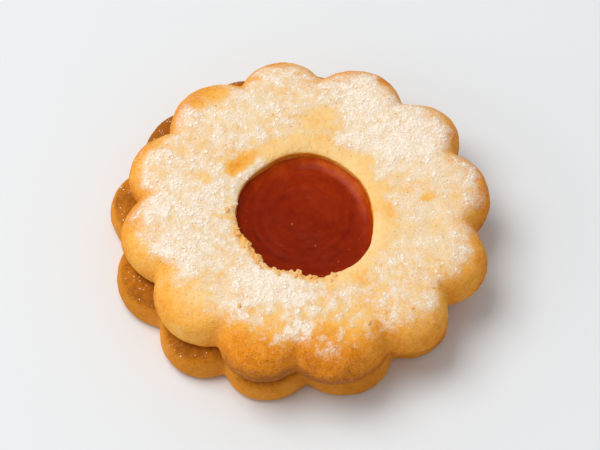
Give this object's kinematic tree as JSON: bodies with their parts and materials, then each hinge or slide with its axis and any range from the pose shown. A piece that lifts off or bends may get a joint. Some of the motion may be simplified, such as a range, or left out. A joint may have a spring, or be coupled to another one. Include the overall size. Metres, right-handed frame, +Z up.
{
  "type": "linzer cookie",
  "caption": "Round sandwich cookie of two scalloped shortcrust biscuits held together by red jam, which fills the round eye of the sugar-dusted upper one.",
  "frame": {"origin": "centre of the bounding box's bottom face, on the surface that the cookie lies on", "axes": "+Z up through the thickness, -Y towards the front, +X to the right seen from the front"},
  "size_m": [0.0608, 0.0606, 0.0141],
  "materials": {
    "lower_crust": "golden brown baked shortcrust, matte and finely crumbed",
    "sugared_crust": "pale golden shortcrust under a patchy dusting of powdered sugar, matte",
    "jam": "set red jam, glossy and slightly translucent"
  },
  "bodies": {
    "root": {"biscuit_disc": "lower_crust", "biscuit_ring": "sugared_crust", "jam": "jam"}
  },
  "joints": []
}
